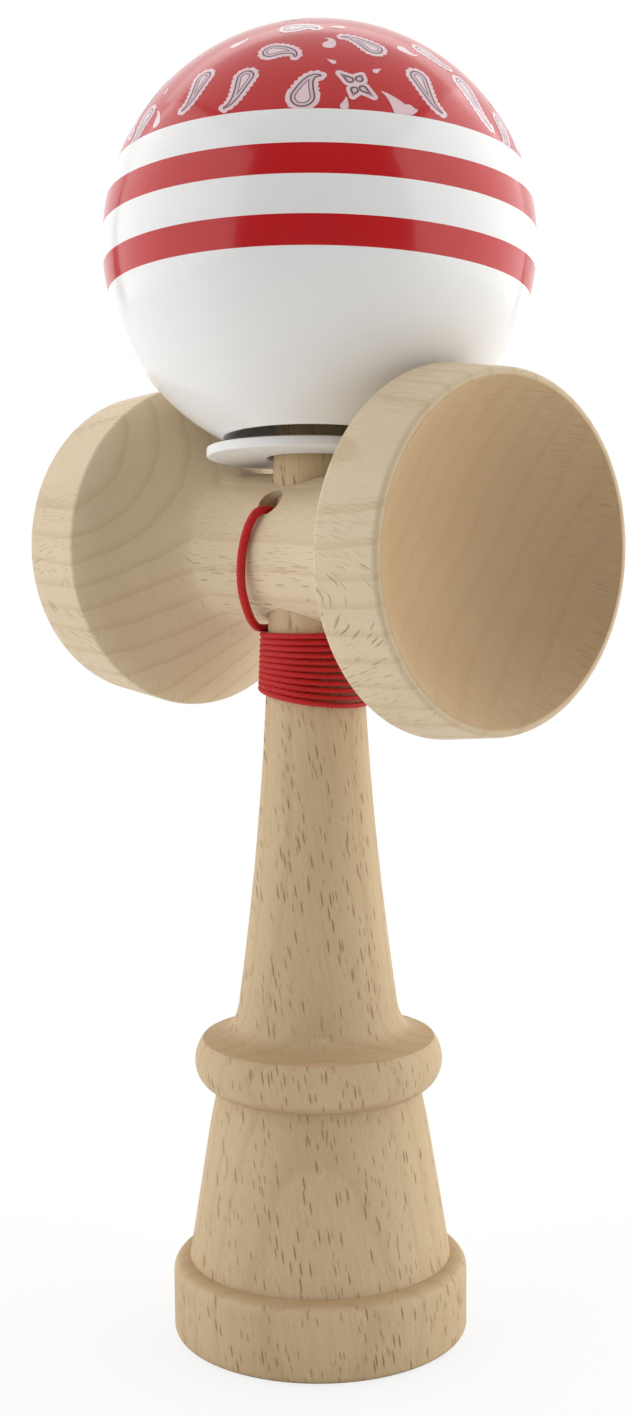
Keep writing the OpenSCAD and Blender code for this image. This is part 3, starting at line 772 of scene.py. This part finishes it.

# %% [markdown]
# ## Red string
# The string is a fine nylon braid, a little over a millimetre thick. Two sets of yarns cross on it at a low
# angle. At this size the braid is a surface texture, so it is drawn in the tube's UV map: two slanted waves,
# one for each way the yarns run, give the relief, and painted shade darkens their valleys. A soft sheen lifts the
# edges.

# %% String finish
def braid():
    finish = Finish("red_braid", IOR=1.5, Specular_IOR_Level=0.3, Sheen_Weight=0.08, Sheen_Roughness=0.4)
    finish.shader.inputs["Sheen Tint"].default_value = (1, 0.55, 0.55, 1)
    w = finish.wire
    u, v, _ = finish.place("UV").parts()
    left = w.sum("SINE", (u / 1.15 + v * 4) * math.tau)
    right = w.sum("SINE", (u / 1.15 - v * 4) * math.tau)
    yarn = w.sum("MAXIMUM", left, right) * 0.5 + 0.5
    worn = w.noise(w.joined(u / 5, v * 2, 0.0), 1.0, 2.0)
    fibre = w.noise(w.joined(u / 0.6, v * 34, 0.0), 1.0, 2.0)
    red = w.make("ShaderNodeValToRGB", {"stops": [(0.2, (0.44, 0.008, 0.008)), (0.8, (0.62, 0.014, 0.014))]},
                 {0: worn * 0.45 + fibre * 0.55})
    # Painted shade: the valleys between the yarns are darkened.
    red = red.tinted((0.62, 0.45, 0.45), (1 - yarn.between(0.35, 0.85)) * 0.4)
    finish.feed("Base Color", red)
    finish.feed("Roughness", 0.46 + fibre * 0.22)
    finish.feed("Normal", w.bump(yarn * 0.8 + fibre * 0.3, 0.5, 0.00008))
    return finish.material


red_braid = braid()
for piece in (string, handle_knot, ball_knot):
    piece.data.materials.append(red_braid)
print("string finish:", red_braid.name)

# %% [markdown]
# ## Washer and bead
# The white washer is a soft pressed sheet: matte, with a faint felted grain. The bead inside the ball is
# polished plastic, and it shows only when the ball is lifted and seen from below.

# %% Washer and bead finishes
def pressed_sheet():
    finish = Finish("pressed_white_sheet", IOR=1.45, Specular_IOR_Level=0.2)
    w = finish.wire
    place = finish.place("Object")
    felt = w.noise(place, 2400, 3.0, 0.6)
    cloud = w.noise(place, 160, 2.0)
    white = w.make("ShaderNodeValToRGB", {"stops": [(0.3, (0.80, 0.795, 0.78)), (0.7, (0.87, 0.87, 0.86))]},
                   {0: felt * 0.5 + cloud * 0.5})
    finish.feed("Base Color", white)
    finish.feed("Roughness", 0.70 + felt * 0.2)
    finish.feed("Normal", w.bump(felt, 0.25, 0.00008))
    return finish.material


def polished_bead():
    finish = Finish("polished_bead", IOR=1.5, Coat_Weight=0.3, Coat_Roughness=0.05)
    w = finish.wire
    cloud = w.noise(finish.place("Object"), 300, 2.0)
    cream = w.make("ShaderNodeValToRGB", {"stops": [(0.3, (0.66, 0.58, 0.46)), (0.7, (0.76, 0.69, 0.57))]}, {0: cloud})
    finish.feed("Base Color", cream)
    finish.feed("Roughness", 0.2 + cloud * 0.15)
    return finish.material


for node, finish in (("spacer_washer", pressed_sheet()), ("tama_bead", polished_bead())):
    nodes[node].data.materials.clear()
    nodes[node].data.materials.append(finish)
print("washer and bead are finished")

# %% [markdown]
# ## Studio
# The toy stands on a white table between two tall soft lights, with one overhead and one behind, and the near
# side of the room is dark: the lacquer mirrors the lights at its sides and keeps its full red in the middle.
# Area lamps give that directly. The lamps are set by the brightness of their faces, so that a colour comes out
# about as it is written, and the background is white for the camera alone.

# %% Lights
def soft_light(name, centre, aim, wide, high, brightness):
    """Area lamp whose face has a given brightness, where 1 is white."""
    data = bpy.data.lights.new(name, "AREA")
    data.shape, data.size, data.size_y = "RECTANGLE", wide, high
    data.energy = brightness * math.pi * wide * high
    lamp = bpy.data.objects.new(name, data)
    bpy.context.scene.collection.objects.link(lamp)
    lamp.location = centre
    lamp.rotation_mode = "QUATERNION"
    lamp.rotation_quaternion = (Vector(aim) - Vector(centre)).to_track_quat("-Z", "Y")
    return lamp


AIM = Vector((0, 0, 0.11))
ahead = Vector((FORWARD.x, FORWARD.y, 0)).normalized()
across = Vector((RIGHT.x, RIGHT.y, 0)).normalized()


def round_toy(angle, distance, height):
    """A point round the toy, by its angle from the camera's side towards the right."""
    a = math.radians(angle)
    return (across * math.sin(a) - ahead * math.cos(a)) * distance + Vector((0, 0, height))


for name, angle, brightness in (("left_light", -86, 1.55), ("right_light", 92, 1.85)):
    soft_light(name, round_toy(angle, 0.75, 0.32), AIM + Vector((0, 0, 0.1)), 1.45, 1.25, brightness)
soft_light("top_light", round_toy(180, 0.18, 1.0), AIM, 1.35, 1.35, 0.9)
soft_light("back_light", round_toy(180, 0.95, 0.5), AIM, 1.9, 1.3, 1.0).visible_camera = False

# %% Room and table
world = bpy.data.worlds.new("room")
bpy.context.scene.world = world
world.use_nodes = True
room = Wire(world.node_tree)
background = world.node_tree.nodes["Background"]
seen = Wire(room.tree, room.make("ShaderNodeLightPath").socket.node.outputs["Is Camera Ray"])
grey = room.make("ShaderNodeRGB")
grey.socket.default_value = (0.13, 0.13, 0.13, 1)
room.tree.links.new(grey.towards((1, 1, 1, 1), seen).socket, background.inputs["Color"])

table_mesh = bpy.data.meshes.new("table")
table_mesh.from_pydata([(-4, -4, 0), (4, -4, 0), (4, 4, 0), (-4, 4, 0)], [], [(0, 1, 2, 3)])
table = bpy.data.objects.new("table", table_mesh)
bpy.context.scene.collection.objects.link(table)
top = Finish("white_table", Base_Color=(0.86, 0.86, 0.86, 1), Roughness=0.7, Specular_IOR_Level=0.2)
path = top.wire.make("ShaderNodeLightPath").socket.node.outputs
far = top.wire.make("ShaderNodeVectorMath", {"operation": "LENGTH"}, {0: top.place("Object")}, 1)
shown = Wire(top.wire.tree, path["Is Camera Ray"]) * (0.8 + far.between(0.06, 0.4) * 0.2)
glow = top.wire.make("ShaderNodeEmission", None, {"Color": (1, 1, 1, 1), "Strength": 1.0})
lit = Wire(top.wire.tree, top.shader.outputs[0])
dressed = top.wire.make("ShaderNodeMixShader", None, {0: shown, 1: lit, 2: glow})
output = top.wire.tree.nodes["Material Output"]
top.wire.tree.links.new(dressed.socket, output.inputs["Surface"])
table_mesh.materials.append(top.material)
bpy.context.scene.view_settings.view_transform = "Standard"
print("table and room are set")
